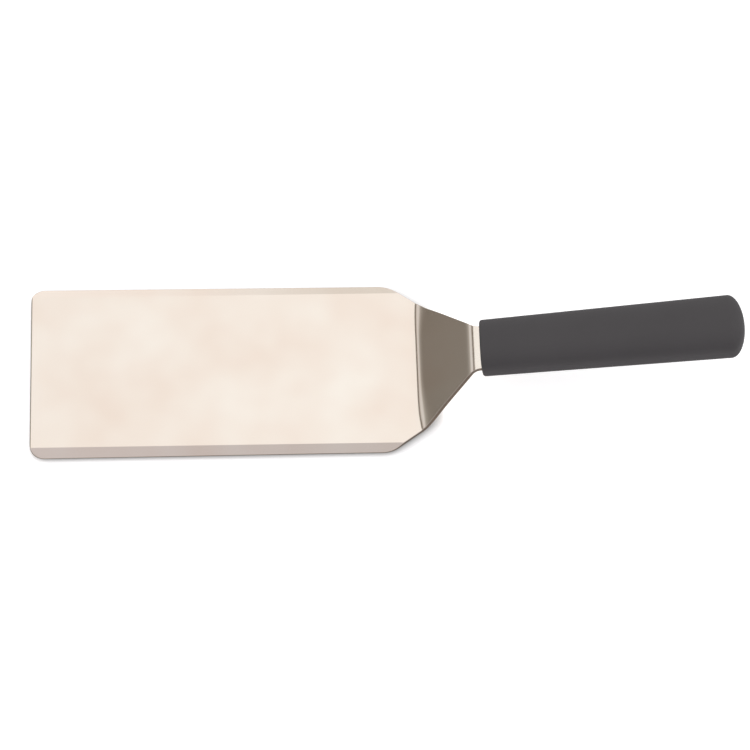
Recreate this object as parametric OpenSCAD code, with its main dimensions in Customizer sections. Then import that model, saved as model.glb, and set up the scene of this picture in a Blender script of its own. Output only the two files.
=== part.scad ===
// Offset grill turner: one bent and ground stainless blade, shank and tang,
// with a hard core moulded round the tang and a matt grip moulded over the core.
// Millimetres. +X runs from the front edge of the blade to the butt of the handle,
// +Z is up, and the origin is the centre of the blade's flat underside.

/* [Blade] */
// Length of the flat blade, from its front edge to the start of the first bend
blade_l = 201.5; // [160:0.5:260]
// Width of the blade at its front edge
blade_w = 101.6; // [90:0.2:130]
// Width of the blade at its shoulders
heel_w = 100.4; // [88:0.2:130]
// Thickness of the sheet that the blade, shank and tang are cut from
sheet_t = 2.3; // [1.6:0.1:3]
// Radius of the two front corners
corner_r = 7.5; // [3:0.5:12]
// Width of the ground bevel along each long side
bevel_w = 5.6; // [3:0.1:8]
// Thickness that the side bevels leave at the edge
edge_t = 0.5; // [0.3:0.1:1.2]
// Width of the eased front edge
front_ease_w = 0.5; // [0.3:0.1:3]
// Depth of the eased front edge
front_ease_d = 0.25; // [0.1:0.05:1]

/* [Shank] */
// Distance over which the shoulders draw in before the first bend
shoulder_l = 13; // [8:0.5:18]
// Radius that rounds each shoulder
shoulder_r = 14; // [6:0.5:20]
// Width of the shank just above the first bend
shank_w = 73; // [60:0.2:84]
// Length of the flat shank between the two bends
shank_l = 26.7; // [15:0.1:40]
// Slope of the shank above the blade, in degrees
shank_angle = 36; // [25:0.5:50]
// Inside radius of the first bend
bend_r = 8.5; // [4:0.5:14]
// Inside radius of the second bend
neck_bend_r = 8.5; // [6:0.5:16]

/* [Neck and tang] */
// Width of the neck that shows in front of the handle
neck_w = 25.6; // [20:0.2:27]
// Length of the neck that shows in front of the handle
neck_l = 3.2; // [2:0.2:12]
// Radius of the hollow curve from the shank into the neck
neck_r = 7; // [3:0.5:10]
// Width of the tang inside the handle
tang_w = 15; // [11:0.5:18]
// Length of core left behind the tang's far end
tang_setback = 10; // [4:0.5:30]
// Diameter of the locking holes through the tang
tang_hole_d = 6; // [3:0.5:8]
// Number of locking holes
tang_holes = 3; // [1:1:5]

/* [Handle] */
// Slope of the handle above the blade, in degrees
handle_angle = 8.5; // [4:0.5:16]
// Length of the handle
handle_l = 138; // [110:0.5:180]
// Width of the handle at its front
handle_w = 30.2; // [28:0.2:40]
// Width of the handle where the butt starts to round off
butt_w = 33.8; // [28:0.2:42]
// Thickness of the handle at its front
handle_t = 18.6; // [17:0.2:26]
// Thickness of the handle where the butt starts to round off
butt_t = 19.8; // [17:0.2:28]
// Length of the rounded butt
butt_l = 8; // [5:0.5:14]
// Radius of the edge round the handle's front face
front_r = 1.5; // [0.5:0.1:3]
// Squareness of the handle's section: 2 is an ellipse, 4 is nearly a box
squareness = 3; // [2:0.1:4]

/* [Core] */
// Thickness of grip left in front of the core and behind it
end_wall = 5; // [3:0.5:8]
// Thickness of grip left over the core at its sides
side_wall = 4.2; // [2.5:0.1:5]
// Thickness of grip left over the core at its top and bottom
face_wall = 3.4; // [2:0.1:4]
// Radius of the core's two back corners
core_r = 6; // [2:0.5:10]
// Number of grooves that key the grip to the core
key_grooves = 5; // [2:1:8]
// Length of each groove along the handle
groove_l = 4; // [2:0.5:6]
// Depth of each groove
groove_d = 1.2; // [0.5:0.1:1.6]
// Clearance between pieces that are moulded round each other
mould_gap = 0.02; // [0.01:0.01:0.1]

/* [Hidden] */
$fn = 64;

// A cut is carried this far past the surface that it cuts
over = 1;
// Flat steps that each bend is drawn in
bend_steps = 14;

tip_x = -blade_l / 2;
heel_x = blade_l / 2;
bend_mid_r = bend_r + sheet_t / 2;
neck_bend_mid_r = neck_bend_r + sheet_t / 2;

// A direction in the XZ plane at an angle a above +X, and the one square to it
function along(a) = [cos(a), sin(a)];
function square_to(a) = [-sin(a), cos(a)];

// The sheet's middle line in the XZ plane: it is straight from p1 to p2 as the shank, and leaves
// the second bend at p3 as the neck and tang
bend_centre = [heel_x, sheet_t / 2 + bend_mid_r];
p1 = bend_centre - bend_mid_r * square_to(shank_angle);
p2 = p1 + shank_l * along(shank_angle);
neck_centre = p2 - neck_bend_mid_r * square_to(shank_angle);
p3 = neck_centre + neck_bend_mid_r * square_to(handle_angle);
handle_front = p3 + neck_l * along(handle_angle);

// The core lies between its own front and back ends, measured along the handle
core_front = end_wall;
core_back = handle_l - butt_l - end_wall;
core_l = core_back - core_front;
core_front_w = handle_w - 2 * side_wall;
core_back_w = butt_w - 2 * side_wall;
core_t = handle_t - 2 * face_wall;
// The neck keeps its full width up to its own shoulders, which seat on the core's front end
neck_seat = core_front - mould_gap;
tang_l = core_back - tang_setback;
groove_pitch = core_l / key_grooves;
hole_pitch = (tang_l - core_front) / tang_holes;

// Points of the handle's surface: rings along its length, each a rounded oblong
ring_points = 48;
edge_rings = 4;
butt_rings = 9;
// How far the butt's last ring is swept towards the tip, in degrees, before the surface is closed
butt_sweep = 86;

// ---- sheet -------------------------------------------------------------------------------

// Everything inside drawn in the XZ plane, carried across the blade's width
module across(width) {
  rotate([90, 0, 0])
    linear_extrude(height = width, center = true)
      children();
}

// Points on one face of a bend, as the sheet turns from slope a to slope b. The radius r is
// negative where the bend's centre is above the sheet
function bend_points(centre, r, a, b) =
  [for (i = [0:bend_steps]) centre + r * square_to(a + (b - a) * i / bend_steps)];

// One face of the sheet from the first bend to the tang's end; offset is the face's height above
// the sheet's middle line
function face_points(offset) = concat(
  bend_points(bend_centre, offset - bend_mid_r, 0, shank_angle),
  bend_points(neck_centre, offset + neck_bend_mid_r, shank_angle, handle_angle),
  [handle_front + tang_l * along(handle_angle) + offset * square_to(handle_angle)]
);

// The sheet seen from its edge
module sheet_profile() {
  underside = face_points(-sheet_t / 2);
  top = face_points(sheet_t / 2);
  polygon(concat(
    [[tip_x, 0]],
    underside,
    [for (i = [len(top) - 1:-1:0]) top[i]],
    [[tip_x, sheet_t]]
  ));
}

function unit(v) = v / norm(v);
// Distance from corner b to where a circle of radius r touches its lines to a and c
function touch(a, b, c, r) = r / tan(acos(unit(a - b) * unit(c - b)) / 2);
// Centre of that circle
function round_centre(a, b, c, r) =
  b + unit(unit(a - b) + unit(c - b)) * norm([r, touch(a, b, c, r)]);

// What lies outside the circle of radius r that rounds corner b
module corner_waste(a, b, c, r) {
  centre = round_centre(a, b, c, r);
  reach = touch(a, b, c, r);
  difference() {
    polygon([b + unit(a - b) * reach, b + unit(b - centre) * over, b + unit(c - b) * reach]);
    translate(centre) circle(r = r);
  }
}

// The outline's corners on one side, seen from above: the front, the shoulder, the shank above the
// first bend, the hollow corner at the neck, and past the tang's end
front_corner = [tip_x, blade_w / 2];
shoulder = [heel_x - shoulder_l, heel_w / 2];
shank_side = [p1[0], shank_w / 2];
neck_corner = [p3[0], neck_w / 2];
neck_end = [p3[0] + neck_l + tang_l, neck_w / 2];
neck_reach = touch(shank_side, neck_corner, neck_end, neck_r);
side_points = [
  front_corner,
  shoulder,
  shank_side,
  neck_corner + unit(shank_side - neck_corner) * neck_reach,
  neck_corner + unit(neck_end - neck_corner) * neck_reach,
  neck_end
];

// The sheet's outline seen from above
module sheet_outline() {
  difference() {
    polygon(concat(
      side_points,
      [for (i = [len(side_points) - 1:-1:0]) [side_points[i][0], -side_points[i][1]]]
    ));
    for (s = [0, 1]) mirror([0, s]) {
      corner_waste([tip_x, 0], front_corner, shoulder, corner_r);
      corner_waste(front_corner, shoulder, shank_side, shoulder_r);
      translate(round_centre(shank_side, neck_corner, neck_end, neck_r)) circle(r = neck_r);
    }
  }
}

// What the grinding wheel takes off one long side, as a prism along the blade
module side_bevel_waste() {
  slope = (sheet_t - edge_t) / bevel_w;
  translate([tip_x - over, 0, 0])
    rotate([90, 0, 90])
      linear_extrude(height = blade_l + over)
        polygon([
          [blade_w / 2 - bevel_w - over, sheet_t + slope * over],
          [blade_w / 2 + over, edge_t - slope * over],
          [blade_w / 2 + over, sheet_t + slope * over]
        ]);
}

// What is eased off the top of the front edge
module front_ease_waste() {
  slope = front_ease_d / front_ease_w;
  across(blade_w + 2 * over)
    polygon([
      [tip_x - over, sheet_t - front_ease_d - slope * over],
      [tip_x + front_ease_w + over, sheet_t + slope * over],
      [tip_x - over, sheet_t + slope * over]
    ]);
}

// ---- handle ------------------------------------------------------------------------------

// Places what is drawn along +X, from the middle of the handle's front face, on the handle's line
module at_handle() {
  translate([handle_front[0], 0, handle_front[1]])
    rotate([0, -handle_angle, 0])
      children();
}

// The narrow tang, from the neck's shoulders to its far end, grown by gap all round
module tang(gap) {
  translate([neck_seat - gap, -tang_w / 2 - gap, -sheet_t / 2 - gap])
    cube([tang_l - neck_seat + 2 * gap, tang_w + 2 * gap, sheet_t + 2 * gap]);
}

// What is cut off each side of the tang, from the neck's shoulders to past its far end
module tang_waste() {
  for (s = [0, 1]) mirror([0, s, 0])
    translate([neck_seat, tang_w / 2, -sheet_t])
      cube([tang_l - neck_seat + over, neck_w, 2 * sheet_t]);
}

// One round bar through each locking hole, grown by gap
module hole_bars(length, gap) {
  for (i = [0:tang_holes - 1])
    translate([core_front + hole_pitch * (i + 0.5), 0, -length / 2])
      cylinder(d = tang_hole_d + 2 * gap, h = length);
}

// The core's outer shape: a tapered block with rounded back corners, keyed by grooves across its
// top and bottom, and grown by gap all round
module core_block(gap) {
  half_t = core_t / 2 + gap;
  difference() {
    linear_extrude(height = 2 * half_t, center = true)
      core_outline(gap);
    for (i = [0:key_grooves - 1], s = [-1, 1])
      translate([
        core_front + groove_pitch * (i + 0.5) - groove_l / 2 + gap,
        -core_back_w,
        s > 0 ? half_t - groove_d : -half_t - over
      ])
        cube([groove_l - 2 * gap, 2 * core_back_w, groove_d + over]);
  }
}

// The core seen from above, grown by gap all round
module core_outline(gap) {
  x0 = core_front - gap;
  x1 = core_back + gap;
  front = [x0, core_front_w / 2 + gap];
  back = [x1, core_back_w / 2 + gap];
  difference() {
    polygon([front, back, [back[0], -back[1]], [front[0], -front[1]]]);
    for (s = [0, 1]) mirror([0, s])
      corner_waste(front, back, [x1, 0], core_r + gap);
  }
}

// Half size of the section, as a share of its full size, against distance x along the handle
function edge_x(i) = front_r * (1 - cos(90 * i / edge_rings));
function edge_inset(i) = front_r * (1 - sin(90 * i / edge_rings));
function butt_x(i) = handle_l - butt_l + butt_l * sin(butt_sweep * i / butt_rings);
function butt_share(i) = cos(butt_sweep * i / butt_rings);
// Full half width and half thickness at x
function taper(x) = min(1, x / (handle_l - butt_l));
function half_w(x) = (handle_w + (butt_w - handle_w) * taper(x)) / 2;
function half_t(x) = (handle_t + (butt_t - handle_t) * taper(x)) / 2;

// Distance from the section's middle to its outline in direction a
function section_r(a, w, t) =
  pow(pow(abs(cos(a)) / w, squareness) + pow(abs(sin(a)) / t, squareness), -1 / squareness);
function ring(x, w, t) = [
  for (k = [0:ring_points - 1])
    let (a = 360 * k / ring_points, r = section_r(a, w, t))
    [x, r * cos(a), r * sin(a)]
];

rings = concat(
  [for (i = [0:edge_rings])
    ring(edge_x(i), half_w(edge_x(i)) - edge_inset(i), half_t(edge_x(i)) - edge_inset(i))],
  [for (i = [0:butt_rings])
    ring(butt_x(i), half_w(butt_x(i)) * butt_share(i), half_t(butt_x(i)) * butt_share(i))]
);
ring_count = len(rings);

// The handle's outer shape, closed by a flat face at the front and a small one at the butt
module handle_solid() {
  polyhedron(
    points = [for (r = rings) each r],
    faces = concat(
      [[for (k = [0:ring_points - 1]) k]],
      [for (j = [0:ring_count - 2], k = [0:ring_points - 1], half = [0, 1])
        let (a = j * ring_points, b = a + ring_points, n = (k + 1) % ring_points)
        half == 0 ? [b + n, a + n, a + k] : [b + k, b + n, a + k]],
      [[for (k = [ring_points - 1:-1:0]) (ring_count - 1) * ring_points + k]]
    )
  );
}

// The opening that the neck passes through at the front of the grip
module neck_slot() {
  translate([-over, -neck_w / 2 - mould_gap, -sheet_t / 2 - mould_gap])
    cube([over + core_front + mould_gap, neck_w + 2 * mould_gap, sheet_t + 2 * mould_gap]);
}

// ---- pieces ------------------------------------------------------------------------------

// Blade, shank, neck and tang: one stainless sheet, cut out, bent twice and ground at its edges
module blade() {
  color([0.90, 0.87, 0.82])
    difference() {
      intersection() {
        across(blade_w + heel_w) sheet_profile();
        linear_extrude(height = 2 * (handle_front[1] + tang_l), center = true)
          sheet_outline();
      }
      for (s = [0, 1]) mirror([0, s, 0]) side_bevel_waste();
      front_ease_waste();
      at_handle() {
        tang_waste();
        hole_bars(2 * sheet_t, 0);
      }
    }
}

// Hard core, moulded round the tang and through its locking holes
module handle_core() {
  color([0.22, 0.22, 0.23])
    at_handle()
      difference() {
        core_block(0);
        difference() {
          tang(mould_gap);
          hole_bars(2 * sheet_t, -mould_gap);
        }
      }
}

// Matt outer grip, moulded over the core and round the neck
module handle_grip() {
  color([0.30, 0.29, 0.30])
    at_handle()
      difference() {
        handle_solid();
        core_block(mould_gap);
        neck_slot();
      }
}

blade();
handle_core();
handle_grip();
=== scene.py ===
"""A grill turner: a bright stainless blade, bent up to its neck and ground along its sides, with a
matt charcoal handle moulded onto the tang. Everything is in metres, in the CAD model's frame: +X
from the blade's front edge to the butt, +Z up, the origin under the middle of the blade."""
import math

import bpy
import numpy as np
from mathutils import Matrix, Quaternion, Vector


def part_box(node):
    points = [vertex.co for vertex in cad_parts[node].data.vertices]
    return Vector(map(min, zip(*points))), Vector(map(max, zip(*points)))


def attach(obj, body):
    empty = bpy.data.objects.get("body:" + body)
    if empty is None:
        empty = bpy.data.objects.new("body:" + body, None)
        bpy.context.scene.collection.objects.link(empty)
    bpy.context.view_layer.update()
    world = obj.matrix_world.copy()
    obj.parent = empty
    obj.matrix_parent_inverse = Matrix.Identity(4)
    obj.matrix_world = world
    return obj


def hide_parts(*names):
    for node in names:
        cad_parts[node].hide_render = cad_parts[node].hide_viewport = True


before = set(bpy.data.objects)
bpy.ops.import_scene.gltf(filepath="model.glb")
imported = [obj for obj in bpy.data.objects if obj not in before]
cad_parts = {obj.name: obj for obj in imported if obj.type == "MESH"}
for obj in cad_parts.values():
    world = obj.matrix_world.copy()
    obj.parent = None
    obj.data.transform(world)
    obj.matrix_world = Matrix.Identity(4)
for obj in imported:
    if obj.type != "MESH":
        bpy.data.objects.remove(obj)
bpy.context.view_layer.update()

MM = 0.001

# ---- sizes -----------------------------------------------------------------------------------

# The sheet: where it starts and ends come from its CAD node, the rest is as cut and bent
SHEET_LOW, SHEET_HIGH = (np.array(corner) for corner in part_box("blade"))
TIP_X = SHEET_LOW[0]
TANG_END_X = SHEET_HIGH[0]
SHEET_T = 2.3 * MM
BLADE_W = 101.6 * MM
HEEL_W = 100.4 * MM
CORNER_R = 7.5 * MM
SHOULDER_L = 13 * MM
SHOULDER_R = 14 * MM
SHANK_W = 73 * MM
SHANK_L = 26.7 * MM
SHANK_SLOPE = math.radians(36)
NECK_W = 25.6 * MM
NECK_L = 3.2 * MM
NECK_R = 7 * MM
TANG_W = 15 * MM
HEEL_X = -TIP_X
BEND_R = 8.5 * MM + SHEET_T / 2
NECK_BEND_R = 8.5 * MM + SHEET_T / 2

# The grinding: a bevel along each side, and a front edge that is only eased
BEVEL_W = 5.6 * MM
EDGE_T = 0.5 * MM
BEVEL_FALL = (SHEET_T - EDGE_T) / BEVEL_W
BEVEL_LINE = BLADE_W / 2 - BEVEL_W
EASE_W = 0.5 * MM
EASE_D = 0.25 * MM
# Every edge is broken by the polishing wheel to this radius, and each ground corner to the next
EDGE_R = 0.3 * MM
CREASE_R = 0.15 * MM

# The first bend starts at one radius and opens out to a wider one past this slope. Towards the near
# and the far side it opens more and starts later, from this far off the middle to the shank's edge
OPENS_AT = math.radians(15)
OPENED_R = 1.1 * BEND_R
SIDE_FROM = np.array([4, 14]) * MM
SIDE_OPENS = np.array([1.9, 1.5]) * BEND_R
SIDE_LATER = np.array([1.3, 0.4]) * MM
# Up the shank the late start is caught up in this stretch, from this far past the fold
CATCH_UP_FROM = 1 * MM
CATCH_UP_L = 14 * MM

# The handle, along its own line from the middle of its front face
HANDLE_SLOPE = math.radians(8.5)
HANDLE_L = 138 * MM
HANDLE_W = 30.2 * MM
HANDLE_T = 18.6 * MM
BUTT_W = 33.8 * MM
BUTT_T = 19.8 * MM
BUTT_L = 8 * MM
FRONT_R = 1.5 * MM
SQUARENESS = 3
# The outside of the handle stays this far inside the CAD model's facets
TRIM = 0.03 * MM
END_WALL = 5 * MM
SIDE_WALL = 4.2 * MM
FACE_WALL = 3.4 * MM
MOULD_GAP = 0.02 * MM


def along(slope):
    """The direction in the XZ plane that climbs at slope, as (x, z)."""
    return np.array([math.cos(slope), math.sin(slope)])


def square_to(slope):
    """The direction in the XZ plane square to along(slope), upwards, as (x, z)."""
    return np.array([-math.sin(slope), math.cos(slope)])


# The sheet's middle line: centres of the two bends, and the ends of the straight stretches
BEND_CENTRE = np.array([HEEL_X, SHEET_T / 2 + BEND_R])
SHANK_START = BEND_CENTRE - BEND_R * square_to(SHANK_SLOPE)
SHANK_END = SHANK_START + SHANK_L * along(SHANK_SLOPE)
NECK_CENTRE = SHANK_END - NECK_BEND_R * square_to(SHANK_SLOPE)
NECK_START = NECK_CENTRE + NECK_BEND_R * square_to(HANDLE_SLOPE)
HANDLE_FRONT = NECK_START + NECK_L * along(HANDLE_SLOPE)
# The neck's shoulders seat on the core, inside the handle
SHOULDERS_X = HANDLE_FRONT[0] + (END_WALL - MOULD_GAP) * math.cos(HANDLE_SLOPE)


# ---- making a mesh ---------------------------------------------------------------------------

SHARP = math.radians(50)


def new_piece(name, points, faces):
    """A mesh object from an array of points and a list of faces, smooth except at sharp corners."""
    mesh = bpy.data.meshes.new(name)
    mesh.from_pydata(points.reshape(-1, 3).tolist(), [], faces)
    mesh.validate()
    mesh.shade_smooth()
    mesh.set_sharp_from_angle(angle=SHARP)
    piece = bpy.data.objects.new(name, mesh)
    bpy.context.scene.collection.objects.link(piece)
    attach(piece, "root")
    return piece


def loft_faces(rings, size):
    """Faces of a closed surface through rings of the same size, capped flat at both ends."""
    ring = np.arange(size)
    start = np.arange(rings - 1)[:, None] * size
    here, after = start + ring, start + np.roll(ring, -1)
    quads = np.stack([here, after, after + size, here + size], axis=-1).reshape(-1, 4)
    first_cap = ring[::-1].tolist()
    last_cap = (ring + (rings - 1) * size).tolist()
    return quads.tolist() + [first_cap, last_cap]


# ---- blade -----------------------------------------------------------------------------------


def rounded_corner(before, corner, after, radius, steps=24):
    """Points of the arc of that radius that touches both lines through the corner. Each point is
    the centre plus the radius in a direction turned evenly from one touching point to the other."""
    u = (before - corner) / np.linalg.norm(before - corner)
    v = (after - corner) / np.linalg.norm(after - corner)
    half = math.acos(np.dot(u, v)) / 2
    middle = (u + v) / np.linalg.norm(u + v)
    centre = corner + middle * radius / math.sin(half)
    first = corner + u * radius / math.tan(half) - centre
    last = corner + v * radius / math.tan(half) - centre
    share = np.linspace(0, 1, steps)[:, None]
    turn = math.pi - 2 * half
    return centre + (first * np.sin((1 - share) * turn) + last * np.sin(share * turn)) / math.sin(turn)


def half_outline():
    """One side of the sheet's outline seen from above, from the front corner to past the tang's
    end, as points (x, y) with a round front corner, shoulder and hollow neck."""
    front = np.array([TIP_X, 0])
    corner = np.array([TIP_X, BLADE_W / 2])
    shoulder = np.array([HEEL_X - SHOULDER_L, HEEL_W / 2])
    shank = np.array([SHANK_START[0], SHANK_W / 2])
    neck = np.array([NECK_START[0], NECK_W / 2])
    end = np.array([TANG_END_X, NECK_W / 2])
    return np.vstack([
        rounded_corner(front, corner, shoulder, CORNER_R),
        rounded_corner(corner, shoulder, shank, SHOULDER_R),
        rounded_corner(shoulder, shank, neck, SHOULDER_R),
        rounded_corner(shank, neck, end, NECK_R),
        end[None],
    ])


def surface_height(x, y):
    """Height of the sheet's middle surface. It is level, rises round a circle above it and on round
    a wider one, runs straight up the shank, turns over round a circle below it, and runs straight
    along the tang. A circle's tangents, from its ends to where they cross, are its radius times
    the tangent of half its turn, and they give how far the fold line is past the bend's start."""
    # On each side, how far a place is on the way to the shank's edge, as a share
    past = np.maximum(np.stack([-y, y], axis=-1) - SIDE_FROM, 0) / (SHANK_W / 2 - SIDE_FROM)
    wide_r = OPENED_R + past**2 @ SIDE_OPENS
    start = HEEL_X + past**5 @ SIDE_LATER
    tight, wide = BEND_R * math.tan(OPENS_AT / 2), wide_r * math.tan((SHANK_SLOPE - OPENS_AT) / 2)
    fold = start + tight + (tight + wide) * math.sin(SHANK_SLOPE - OPENS_AT) / math.sin(SHANK_SLOPE)
    late = fold - HEEL_X - BEND_R * math.tan(SHANK_SLOPE / 2)
    caught_up = np.clip((x - fold + late - CATCH_UP_FROM) / CATCH_UP_L, 0, 1)
    caught_up = caught_up**2 * (3 - 2 * caught_up)
    low = SHEET_T / 2
    opens = start + BEND_R * math.sin(OPENS_AT)
    wide_x = start - (wide_r - BEND_R) * math.sin(OPENS_AT)
    wide_z = low + BEND_R + (wide_r - BEND_R) * math.cos(OPENS_AT)
    steep = wide_x + wide_r * math.sin(SHANK_SLOPE)
    tight_bend = low + BEND_R - np.sqrt(np.maximum(BEND_R**2 - (x - start)**2, 0))
    wide_bend = wide_z - np.sqrt(np.maximum(wide_r**2 - (x - wide_x)**2, 0))
    shank = low + (x - fold) * math.tan(SHANK_SLOPE)
    rise = late * caught_up * math.tan(SHANK_SLOPE)
    second_bend = NECK_CENTRE[1] + np.sqrt(np.maximum(NECK_BEND_R**2 - (x - NECK_CENTRE[0])**2, 0))
    tang = NECK_START[1] + (x - NECK_START[0]) * math.tan(HANDLE_SLOPE)
    return np.select([x < start, x < opens, x < steep, x < SHANK_END[0], x < NECK_START[0]],
                     [np.full_like(x, low), tight_bend, wide_bend + rise, shank + rise,
                      second_bend], tang)


def rounded_ramp(d, k):
    """Zero for d below -k, d itself above k, and a parabola between, so a crease is rounded."""
    return np.where(d < -k, 0, np.where(d > k, d, (d + k)**2 / (4 * k)))


def stations():
    """Distances along X at which the sheet's section is drawn, close together where it curves."""
    front = TIP_X + CORNER_R * (1 - np.cos(np.linspace(0, math.pi / 2, 22)))
    ease = TIP_X + EASE_W + np.linspace(-2, 2, 5) * CREASE_R
    blade = np.linspace(TIP_X + CORNER_R, HEEL_X - SHOULDER_L - CORNER_R, 24)
    shoulder = np.linspace(HEEL_X - SHOULDER_L - CORNER_R, HEEL_X - 5 * MM, 30)
    shank = np.linspace(HEEL_X - 5 * MM, NECK_START[0], 190)
    neck = np.linspace(NECK_START[0], SHOULDERS_X, 12)
    tang = np.linspace(SHOULDERS_X + MOULD_GAP, TANG_END_X, 8)
    return np.unique(np.round(np.concatenate([front, ease, blade, shoulder, shank, neck, tang]), 7))


def sheet_section(x, half_w):
    """One half of the sheet's section at every station, from the middle of its top face round the
    edge to the middle of its underside. Each point is a distance across the sheet and a height
    above its middle surface; the top falls away past the bevel line and along the eased front."""
    top = SHEET_T / 2 - EASE_D / EASE_W * rounded_ramp(TIP_X + EASE_W - x, CREASE_R)[:, None]
    half_w = half_w[:, None]
    line = np.minimum(BEVEL_LINE, half_w - EDGE_R - 6 * CREASE_R)

    def fall(y):
        return BEVEL_FALL * rounded_ramp(y - BEVEL_LINE, CREASE_R)

    edge_t = top + SHEET_T / 2 - fall(half_w)
    r = np.minimum(EDGE_R, 0.4 * edge_t)
    inner = np.linspace(0, 1, 15)[:-1] * (line - 3 * CREASE_R)
    crease = line + np.array([-3, -2, -1, -0.5, 0, 0.5, 1, 2, 3]) * CREASE_R
    outer_end = half_w - r
    outer = line + 3 * CREASE_R + (outer_end - line - 3 * CREASE_R) * np.array([0.5, 0.9, 1])
    across = np.hstack([inner, crease, outer])
    face = top - fall(across)
    turn = np.radians([72, 54, 36, 18, 0])
    top_edge_y = outer_end + r * np.cos(turn)
    top_edge_z = face[:, -1:] - r + r * np.sin(turn)
    low_edge_z = r - SHEET_T / 2 - r * np.sin(turn[::-1])
    y = np.hstack([across, top_edge_y, top_edge_y[:, ::-1], across[:, ::-1]])
    z = np.hstack([face, top_edge_z, low_edge_z, np.full_like(across, -SHEET_T / 2)])
    cut = np.concatenate([np.zeros(across.shape[1]), np.cos(turn), np.cos(turn[::-1]),
                          np.zeros(across.shape[1])])
    return y, z, cut


def blade_sheet():
    """The sheet as closed sections carried along its length: each section point is moved off the
    middle surface by its height, along the surface's own normal, which is the vector product of
    the surface's slopes along X and Y."""
    outline = half_outline()
    x = stations()
    half_w = np.interp(x, outline[:, 0], outline[:, 1])
    half_w = np.where(x > SHOULDERS_X, TANG_W / 2, half_w)
    half_y, half_z, half_cut = sheet_section(x, half_w)
    # The other half is the same, the other way round, without the two points on the middle line
    y = np.hstack([half_y, -half_y[:, -2:0:-1]])
    off = np.hstack([half_z, half_z[:, -2:0:-1]])
    x = np.broadcast_to(x[:, None], y.shape)
    step = 0.02 * MM
    slope_x = (surface_height(x + step, y) - surface_height(x - step, y)) / (2 * step)
    slope_y = (surface_height(x, y + step) - surface_height(x, y - step)) / (2 * step)
    length = np.sqrt(slope_x**2 + slope_y**2 + 1)
    points = np.stack([
        x - off * slope_x / length,
        y - off * slope_y / length,
        surface_height(x, y) + off / length,
    ], axis=-1)
    piece = new_piece("blade_sheet", points, loft_faces(*y.shape))
    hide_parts("blade")
    # Where the sheet was cut, which is duller than its polished faces. The material also paints these edges,
    # and the whole first and last sections, dark brown: painted shade for the shadowed floor they reflect
    cut = np.broadcast_to(np.concatenate([half_cut, half_cut[-2:0:-1]]), y.shape).copy()
    cut[[0, -1]] = 1
    piece.data.attributes.new("cut_edge_and_painted_shade", "FLOAT", "POINT").data.foreach_set("value", cut.ravel())
    return piece


# ---- handle ----------------------------------------------------------------------------------

RING_POINTS = 160


def grip_rings():
    """Size of the grip at each ring, as columns of distance along the handle, half width, half
    thickness and squareness. They run from the back of the hollow round the core, out through the
    slot for the neck, over the front edge and down to the butt, whose size falls as a quarter
    ellipse."""
    taper_l = HANDLE_L - BUTT_L
    core_t = HANDLE_T / 2 - FACE_WALL + MOULD_GAP
    core_back = HANDLE_L - BUTT_L - END_WALL + MOULD_GAP
    core_front = END_WALL - MOULD_GAP
    box = 24
    slot_w, slot_t = NECK_W / 2 + MOULD_GAP, SHEET_T / 2 + MOULD_GAP
    lip = 0.25 * MM
    hollow = [
        (core_back, BUTT_W / 2 - SIDE_WALL, core_t, box),
        (core_front, HANDLE_W / 2 - SIDE_WALL, core_t, box),
        (core_front, slot_w, slot_t, box),
        (lip, slot_w, slot_t, box),
        (lip / 4, slot_w + lip / 4, slot_t + lip / 4, box),
        (0, slot_w + lip, slot_t + lip, box),
    ]
    rim_w, rim_t = HANDLE_W / 2 - FRONT_R, HANDLE_T / 2 - FRONT_R
    share = np.linspace(0, 1, 7)[1:-1]
    face = [(0, slot_w + lip + (rim_w - slot_w - lip) * s, slot_t + lip + (rim_t - slot_t - lip) * s,
             SQUARENESS + (box - SQUARENESS) * (1 - s)**2) for s in share]
    turn = np.linspace(0, math.pi / 2, 9)
    edge = [(FRONT_R * (1 - math.cos(a)), rim_w + FRONT_R * math.sin(a),
             rim_t + FRONT_R * math.sin(a), SQUARENESS) for a in turn]
    body = [(x, HANDLE_W / 2, HANDLE_T / 2, SQUARENESS)
            for x in np.linspace(FRONT_R, taper_l, 14)[1:]]
    turn = np.linspace(0, math.pi / 2, 30)[1:-1]
    butt = [(taper_l + BUTT_L * math.sin(a), BUTT_W / 2 * math.cos(a), BUTT_T / 2 * math.cos(a),
             SQUARENESS) for a in turn]
    rings = np.array(hollow + face + edge + body + butt)
    # The handle widens evenly from its front to the start of the butt
    outside = np.arange(len(rings)) >= len(hollow) + len(face)
    straight = outside & (rings[:, 0] <= taper_l)
    share = rings[:, 0] / taper_l
    rings[:, 1] += np.where(straight, (BUTT_W - HANDLE_W) / 2 * share, 0)
    rings[:, 2] += np.where(straight, (BUTT_T - HANDLE_T) / 2 * share, 0)
    rings[:, 1:3] -= np.where(outside, TRIM, 0)[:, None]
    rings[:, 0] -= np.where(rings[:, 0] > taper_l, TRIM, 0)
    return rings


def handle_grip():
    """The grip as rings of one rounded oblong: in direction a, its outline is at the distance
    where |cos a / half width| and |sin a / half thickness|, each to the power of the squareness,
    add up to one."""
    along_x, half_w, half_t, power = (column[:, None] for column in grip_rings().T)
    a = np.linspace(0, 2 * math.pi, RING_POINTS, endpoint=False)[None]
    sum_of_powers = np.abs(np.cos(a) / half_w)**power + np.abs(np.sin(a) / half_t)**power
    r = sum_of_powers**(-1 / power)
    across, up = r * np.cos(a), r * np.sin(a)
    forward, upward = along(HANDLE_SLOPE), square_to(HANDLE_SLOPE)
    points = np.stack([
        HANDLE_FRONT[0] + along_x * forward[0] + up * upward[0],
        across,
        HANDLE_FRONT[1] + along_x * forward[1] + up * upward[1],
    ], axis=-1)
    piece = new_piece("handle_grip_moulding", points, loft_faces(*across.shape))
    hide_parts("handle_grip")
    return piece


# ---- materials -------------------------------------------------------------------------------


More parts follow.
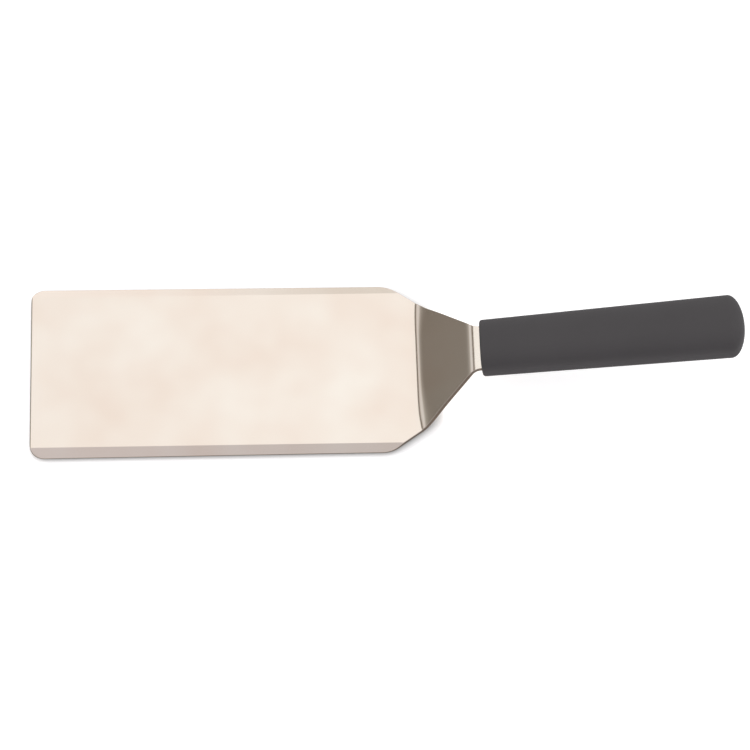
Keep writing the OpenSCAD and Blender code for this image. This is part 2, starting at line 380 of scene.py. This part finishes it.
def linear(hex_colour):
    """An sRGB hex colour as linear red, green, blue and alpha."""
    share = np.array([int(hex_colour[i:i + 2], 16) for i in (1, 3, 5)]) / 255
    curve = np.where(share <= 0.04045, share / 12.92, ((share + 0.055) / 1.055)**2.4)
    return (*curve.tolist(), 1.0)


def add_node(tree, kind, settings=None, **inputs):
    """Adds a node, sets its properties, and sets or links each named input."""
    node = tree.nodes.new(kind)
    for name, value in (settings or {}).items():
        setattr(node, name, value)
    for name, value in inputs.items():
        socket = node.inputs[int(name[1:])] if name[0] == "i" and name[1:].isdigit() else node.inputs[name]
        if isinstance(value, bpy.types.NodeSocket):
            tree.links.new(value, socket)
        else:
            socket.default_value = value
    return node


def new_material(name):
    """An empty node material and its output node."""
    material = bpy.data.materials.new(name)
    material.use_nodes = True
    tree = material.node_tree
    tree.nodes.clear()
    return material, tree, tree.nodes.new("ShaderNodeOutputMaterial")


def brushed_stainless():
    """Ground and lightly brushed stainless steel sheet. The polishing belt leaves lines along the
    blade, too fine to see one by one, so it gives soft broad patches and edges that stay crisp."""
    material, tree, output = new_material("brushed_stainless_steel")
    place = add_node(tree, "ShaderNodeTexCoord").outputs["Object"]
    belt = add_node(tree, "ShaderNodeMapping", Vector=place, Scale=(1 / 0.06, 1 / 0.0006, 1 / 0.0006))
    lines = add_node(tree, "ShaderNodeTexNoise", {"noise_dimensions": "3D"},
                     Vector=belt.outputs[0], Scale=1.0, Detail=3.0, Roughness=0.6)
    patches = add_node(tree, "ShaderNodeTexNoise", Vector=place, Scale=1 / 0.045, Detail=2.0)
    mixed = add_node(tree, "ShaderNodeMix", {"data_type": "FLOAT"}, Factor=0.35)
    tree.links.new(patches.outputs["Fac"], mixed.inputs["A"])
    tree.links.new(lines.outputs["Fac"], mixed.inputs["B"])
    rough = add_node(tree, "ShaderNodeMapRange", Value=mixed.outputs["Result"])
    rough.inputs["From Min"].default_value = 0.3
    rough.inputs["From Max"].default_value = 0.7
    rough.inputs["To Min"].default_value = 0.12
    rough.inputs["To Max"].default_value = 0.16
    tone = add_node(tree, "ShaderNodeMix", {"data_type": "RGBA"}, i0=patches.outputs["Fac"])
    tone.inputs["A"].default_value = linear("#EED9C9")
    tone.inputs["B"].default_value = linear("#FEF9F0")
    # The cut edges get a dark brown base colour, a painted shade for the shadowed floor they reflect, and a
    # higher roughness, as sheared steel is duller
    cut = add_node(tree, "ShaderNodeAttribute", {"attribute_name": "cut_edge_and_painted_shade"}).outputs["Fac"]
    colour = add_node(tree, "ShaderNodeMix", {"data_type": "RGBA"}, i0=cut)
    tree.links.new(tone.outputs["Result"], colour.inputs["A"])
    colour.inputs["B"].default_value = linear("#6B5F54")
    dull = add_node(tree, "ShaderNodeMix", {"data_type": "FLOAT"}, i0=cut)
    tree.links.new(rough.outputs[0], dull.inputs["A"])
    dull.inputs["B"].default_value = 0.45
    relief = add_node(tree, "ShaderNodeBump", Height=lines.outputs["Fac"], Strength=0.05, Distance=0.00001)
    steel = add_node(tree, "ShaderNodeBsdfPrincipled", Metallic=1.0, Normal=relief.outputs[0])
    tree.links.new(colour.outputs["Result"], steel.inputs["Base Color"])
    tree.links.new(dull.outputs["Result"], steel.inputs["Roughness"])
    tree.links.new(steel.outputs[0], output.inputs["Surface"])
    return material


def moulded_elastomer():
    """Charcoal thermoplastic elastomer, moulded against a fine spark-eroded texture, which makes it
    quite matt and soft to the eye."""
    material, tree, output = new_material("moulded_thermoplastic_elastomer")
    place = add_node(tree, "ShaderNodeTexCoord").outputs["Object"]
    grain = add_node(tree, "ShaderNodeTexNoise", Vector=place, Scale=1 / 0.0006, Detail=2.0, Roughness=0.6)
    relief = add_node(tree, "ShaderNodeBump", Height=grain.outputs["Fac"], Strength=0.25, Distance=0.00006)
    tone = add_node(tree, "ShaderNodeTexNoise", Vector=place, Scale=1 / 0.02, Detail=2.0)
    colour = add_node(tree, "ShaderNodeMix", {"data_type": "RGBA"})
    tree.links.new(tone.outputs["Fac"], colour.inputs["Factor"])
    colour.inputs["A"].default_value = linear("#4A4849")
    colour.inputs["B"].default_value = linear("#4E4C4D")
    rubber = add_node(tree, "ShaderNodeBsdfPrincipled", Roughness=0.78, Normal=relief.outputs[0])
    tree.links.new(colour.outputs["Result"], rubber.inputs["Base Color"])
    rubber.inputs["Specular IOR Level"].default_value = 0.3
    tree.links.new(rubber.outputs[0], output.inputs["Surface"])
    return material


def moulded_polypropylene():
    """Black-grey polypropylene, injection moulded, slightly waxy. It is sealed inside the grip."""
    material, tree, output = new_material("moulded_polypropylene")
    place = add_node(tree, "ShaderNodeTexCoord").outputs["Object"]
    flow = add_node(tree, "ShaderNodeTexNoise", Vector=place, Scale=1 / 0.01, Detail=2.0)
    rough = add_node(tree, "ShaderNodeMapRange", Value=flow.outputs["Fac"])
    rough.inputs["To Min"].default_value = 0.4
    rough.inputs["To Max"].default_value = 0.55
    plastic = add_node(tree, "ShaderNodeBsdfPrincipled")
    plastic.inputs["Base Color"].default_value = linear("#303032")
    tree.links.new(rough.outputs[0], plastic.inputs["Roughness"])
    tree.links.new(plastic.outputs[0], output.inputs["Surface"])
    return material


def dress(piece, material):
    """Gives a piece this one material."""
    piece.data.materials.clear()
    piece.data.materials.append(material)


# ---- studio ----------------------------------------------------------------------------------


# The studio as bright metal shows it: strips of tone that run over the object along Y, each at its
# angle about Y from straight up, tipping towards the blade's front. The big white sweep ends past
# the neck's slope, and beyond a narrow reflector the room is warm and unlit.
STUDIO_STRIPS = [
    (-180, (0.50, 0.50, 0.50)),
    (-90, (0.45, 0.45, 0.45)),
    (-45, (0.85, 0.85, 0.85)),
    (-30, (1.00, 1.00, 1.00)),
    (0, (1.00, 1.00, 1.00)),
    (4, (0.96, 0.96, 0.96)),
    (15, (1.07, 1.09, 1.09)),
    (18, (0.17, 0.145, 0.12)),
    (25, (0.17, 0.145, 0.12)),
    (29, (0.74, 0.74, 0.74)),
    (38, (0.68, 0.68, 0.68)),
    (43, (0.42, 0.41, 0.39)),
    (48, (0.33, 0.32, 0.30)),
    (56, (0.26, 0.25, 0.23)),
    (66, (0.23, 0.215, 0.195)),
    (90, (0.19, 0.18, 0.16)),
    (110, (0.50, 0.50, 0.50)),
]
# In front of the sweep, from straight above to behind the near side, the ceiling is a cool grey, and
# the sweep's foot at the back is a little dimmer on the right. Each has its tone on the left and on
# the right, and the world X between which it changes
CEILING = [(0.64, 0.62, 0.65), (0.57, 0.555, 0.57), -0.05, 0.05]
FOOT = [(1.03, 1.01, 1.01), (0.75, 0.75, 0.73), -0.002, 0.018]


def studio():
    """The room and one broad lamp high at the back, which lights matt surfaces only."""
    lamp_data = bpy.data.lights.new("broad_lamp", "SUN")
    lamp_data.energy = 1.1
    lamp_data.angle = math.radians(70)
    lamp_data.use_shadow = False
    lamp = bpy.data.objects.new("broad_lamp", lamp_data)
    lamp.rotation_euler = (math.radians(-35), 0, 0)
    lamp.visible_glossy = False
    bpy.context.scene.collection.objects.link(lamp)

    world = bpy.data.worlds.new("studio_room")
    bpy.context.scene.world = world
    world.use_nodes = True
    tree = world.node_tree
    tree.nodes.clear()
    direction = add_node(tree, "ShaderNodeTexCoord").outputs["Generated"]
    part = add_node(tree, "ShaderNodeSeparateXYZ", Vector=direction).outputs
    to_front = add_node(tree, "ShaderNodeMath", {"operation": "MULTIPLY"}, i0=part["X"], i1=-1.0)
    angle = add_node(tree, "ShaderNodeMath", {"operation": "ARCTAN2"}, i0=to_front.outputs[0], i1=part["Z"])
    turn = add_node(tree, "ShaderNodeMapRange", Value=angle.outputs[0])
    turn.inputs["From Min"].default_value = -math.pi
    turn.inputs["From Max"].default_value = math.pi
    strips = add_node(tree, "ShaderNodeValToRGB", Fac=turn.outputs[0])
    stops = strips.color_ramp.elements
    while len(stops) < len(STUDIO_STRIPS):
        stops.new(0.5)
    for stop, (degrees, tone) in zip(stops, STUDIO_STRIPS):
        stop.position = (degrees + 180) / 360
        stop.color = (*tone, 1)
    back = add_node(tree, "ShaderNodeMapRange", {"interpolation_type": "SMOOTHSTEP"}, Value=part["Y"])
    back.inputs["From Min"].default_value = -0.05
    back.inputs["From Max"].default_value = 0.3
    low = add_node(tree, "ShaderNodeMapRange", {"interpolation_type": "SMOOTHSTEP"}, Value=part["Y"])
    low.inputs["From Min"].default_value = 0.75
    low.inputs["From Max"].default_value = 0.86

    def left_to_right(left, right, from_x, to_x):
        """A tone that changes from the left one to the right one, between two values of world X."""
        side = add_node(tree, "ShaderNodeMapRange", {"interpolation_type": "SMOOTHSTEP"}, Value=part["X"])
        side.inputs["From Min"].default_value = from_x
        side.inputs["From Max"].default_value = to_x
        tone = add_node(tree, "ShaderNodeMix", {"data_type": "RGBA"}, i0=side.outputs[0])
        tone.inputs["A"].default_value = (*left, 1)
        tone.inputs["B"].default_value = (*right, 1)
        return tone.outputs["Result"]

    room = add_node(tree, "ShaderNodeMix", {"data_type": "RGBA"}, i0=back.outputs[0])
    tree.links.new(left_to_right(*CEILING), room.inputs["A"])
    tree.links.new(strips.outputs[0], room.inputs["B"])
    dimmed = add_node(tree, "ShaderNodeMix", {"data_type": "RGBA", "blend_type": "MULTIPLY"},
                      i0=low.outputs[0])
    tree.links.new(room.outputs["Result"], dimmed.inputs["A"])
    tree.links.new(left_to_right(*FOOT), dimmed.inputs["B"])
    seen = add_node(tree, "ShaderNodeBackground", Color=(1, 1, 1, 1), Strength=1.0)
    light = add_node(tree, "ShaderNodeBackground", Color=dimmed.outputs["Result"], Strength=1.0)
    camera_ray = add_node(tree, "ShaderNodeLightPath").outputs["Is Camera Ray"]
    mix = add_node(tree, "ShaderNodeMixShader", Fac=camera_ray, i1=light.outputs[0], i2=seen.outputs[0])
    output = add_node(tree, "ShaderNodeOutputWorld")
    tree.links.new(mix.outputs[0], output.inputs["Surface"])


def floor():
    """A plain white floor that shows as white to the eye and in metal. It keeps the room light's soft shadow
    of the object, and near the object its colour and glow are darkened by short-reach ambient occlusion, a
    painted shadow that is deeper where the object all but touches it."""
    material, tree, output = new_material("white_floor")
    paint = add_node(tree, "ShaderNodeBsdfDiffuse", Color=linear("#FAFAFA"))
    # The painted shadow's hemisphere is tipped towards the left, where the sweep is brightest, so the deep
    # part of it falls away from the left
    painted_shadow_tilt = add_node(tree, "ShaderNodeCombineXYZ", X=-0.6, Y=0.0, Z=0.8)
    painted_contact_shadow = add_node(tree, "ShaderNodeAmbientOcclusion", {"samples": 16}, Distance=8 * MM,
                    Normal=painted_shadow_tilt.outputs[0]).outputs["Color"]
    # Diffuse colour and glow both take the ambient occlusion as their colour: a painted shadow on the floor
    white = add_node(tree, "ShaderNodeBsdfDiffuse", Color=painted_contact_shadow)
    glow = add_node(tree, "ShaderNodeEmission", Color=painted_contact_shadow, Strength=0.4)
    both = add_node(tree, "ShaderNodeAddShader", i0=white.outputs[0], i1=glow.outputs[0])
    ray = add_node(tree, "ShaderNodeLightPath").outputs
    seen = add_node(tree, "ShaderNodeMath", {"operation": "MAXIMUM"},
                    i0=ray["Is Camera Ray"], i1=ray["Is Glossy Ray"])
    mix = add_node(tree, "ShaderNodeMixShader", Fac=seen.outputs[0], i1=paint.outputs[0], i2=both.outputs[0])
    tree.links.new(mix.outputs[0], output.inputs["Surface"])
    reach = 6
    below = -1.6 * MM
    mesh = bpy.data.meshes.new("floor")
    mesh.from_pydata([(-reach, -reach, below), (reach, -reach, below), (reach, reach, below),
                      (-reach, reach, below)], [], [(0, 1, 2, 3)])
    ground = bpy.data.objects.new("floor", mesh)
    bpy.context.scene.collection.objects.link(ground)
    mesh.materials.append(material)


def camera():
    """A long lens from above the near side, rolled a little."""
    place = Vector((0.0025, -1.0413, 1.8377))
    target = Vector((0.0799, -0.0090, 0.0100))
    data = bpy.data.cameras.new("camera")
    data.sensor_width = 36
    data.lens = 192.35
    data.clip_end = 20
    view = bpy.data.objects.new("camera", data)
    view.location = place
    view.rotation_mode = "QUATERNION"
    roll = Quaternion((0, 0, 1), math.radians(2.91))
    view.rotation_quaternion = (target - place).to_track_quat("-Z", "Y") @ roll
    bpy.context.scene.collection.objects.link(view)
    bpy.context.scene.camera = view


# ---- the scene -------------------------------------------------------------------------------

camera()
studio()
floor()
dress(blade_sheet(), brushed_stainless())
dress(handle_grip(), moulded_elastomer())
dress(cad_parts["handle_core"], moulded_polypropylene())
bpy.context.scene.view_settings.view_transform = "Standard"
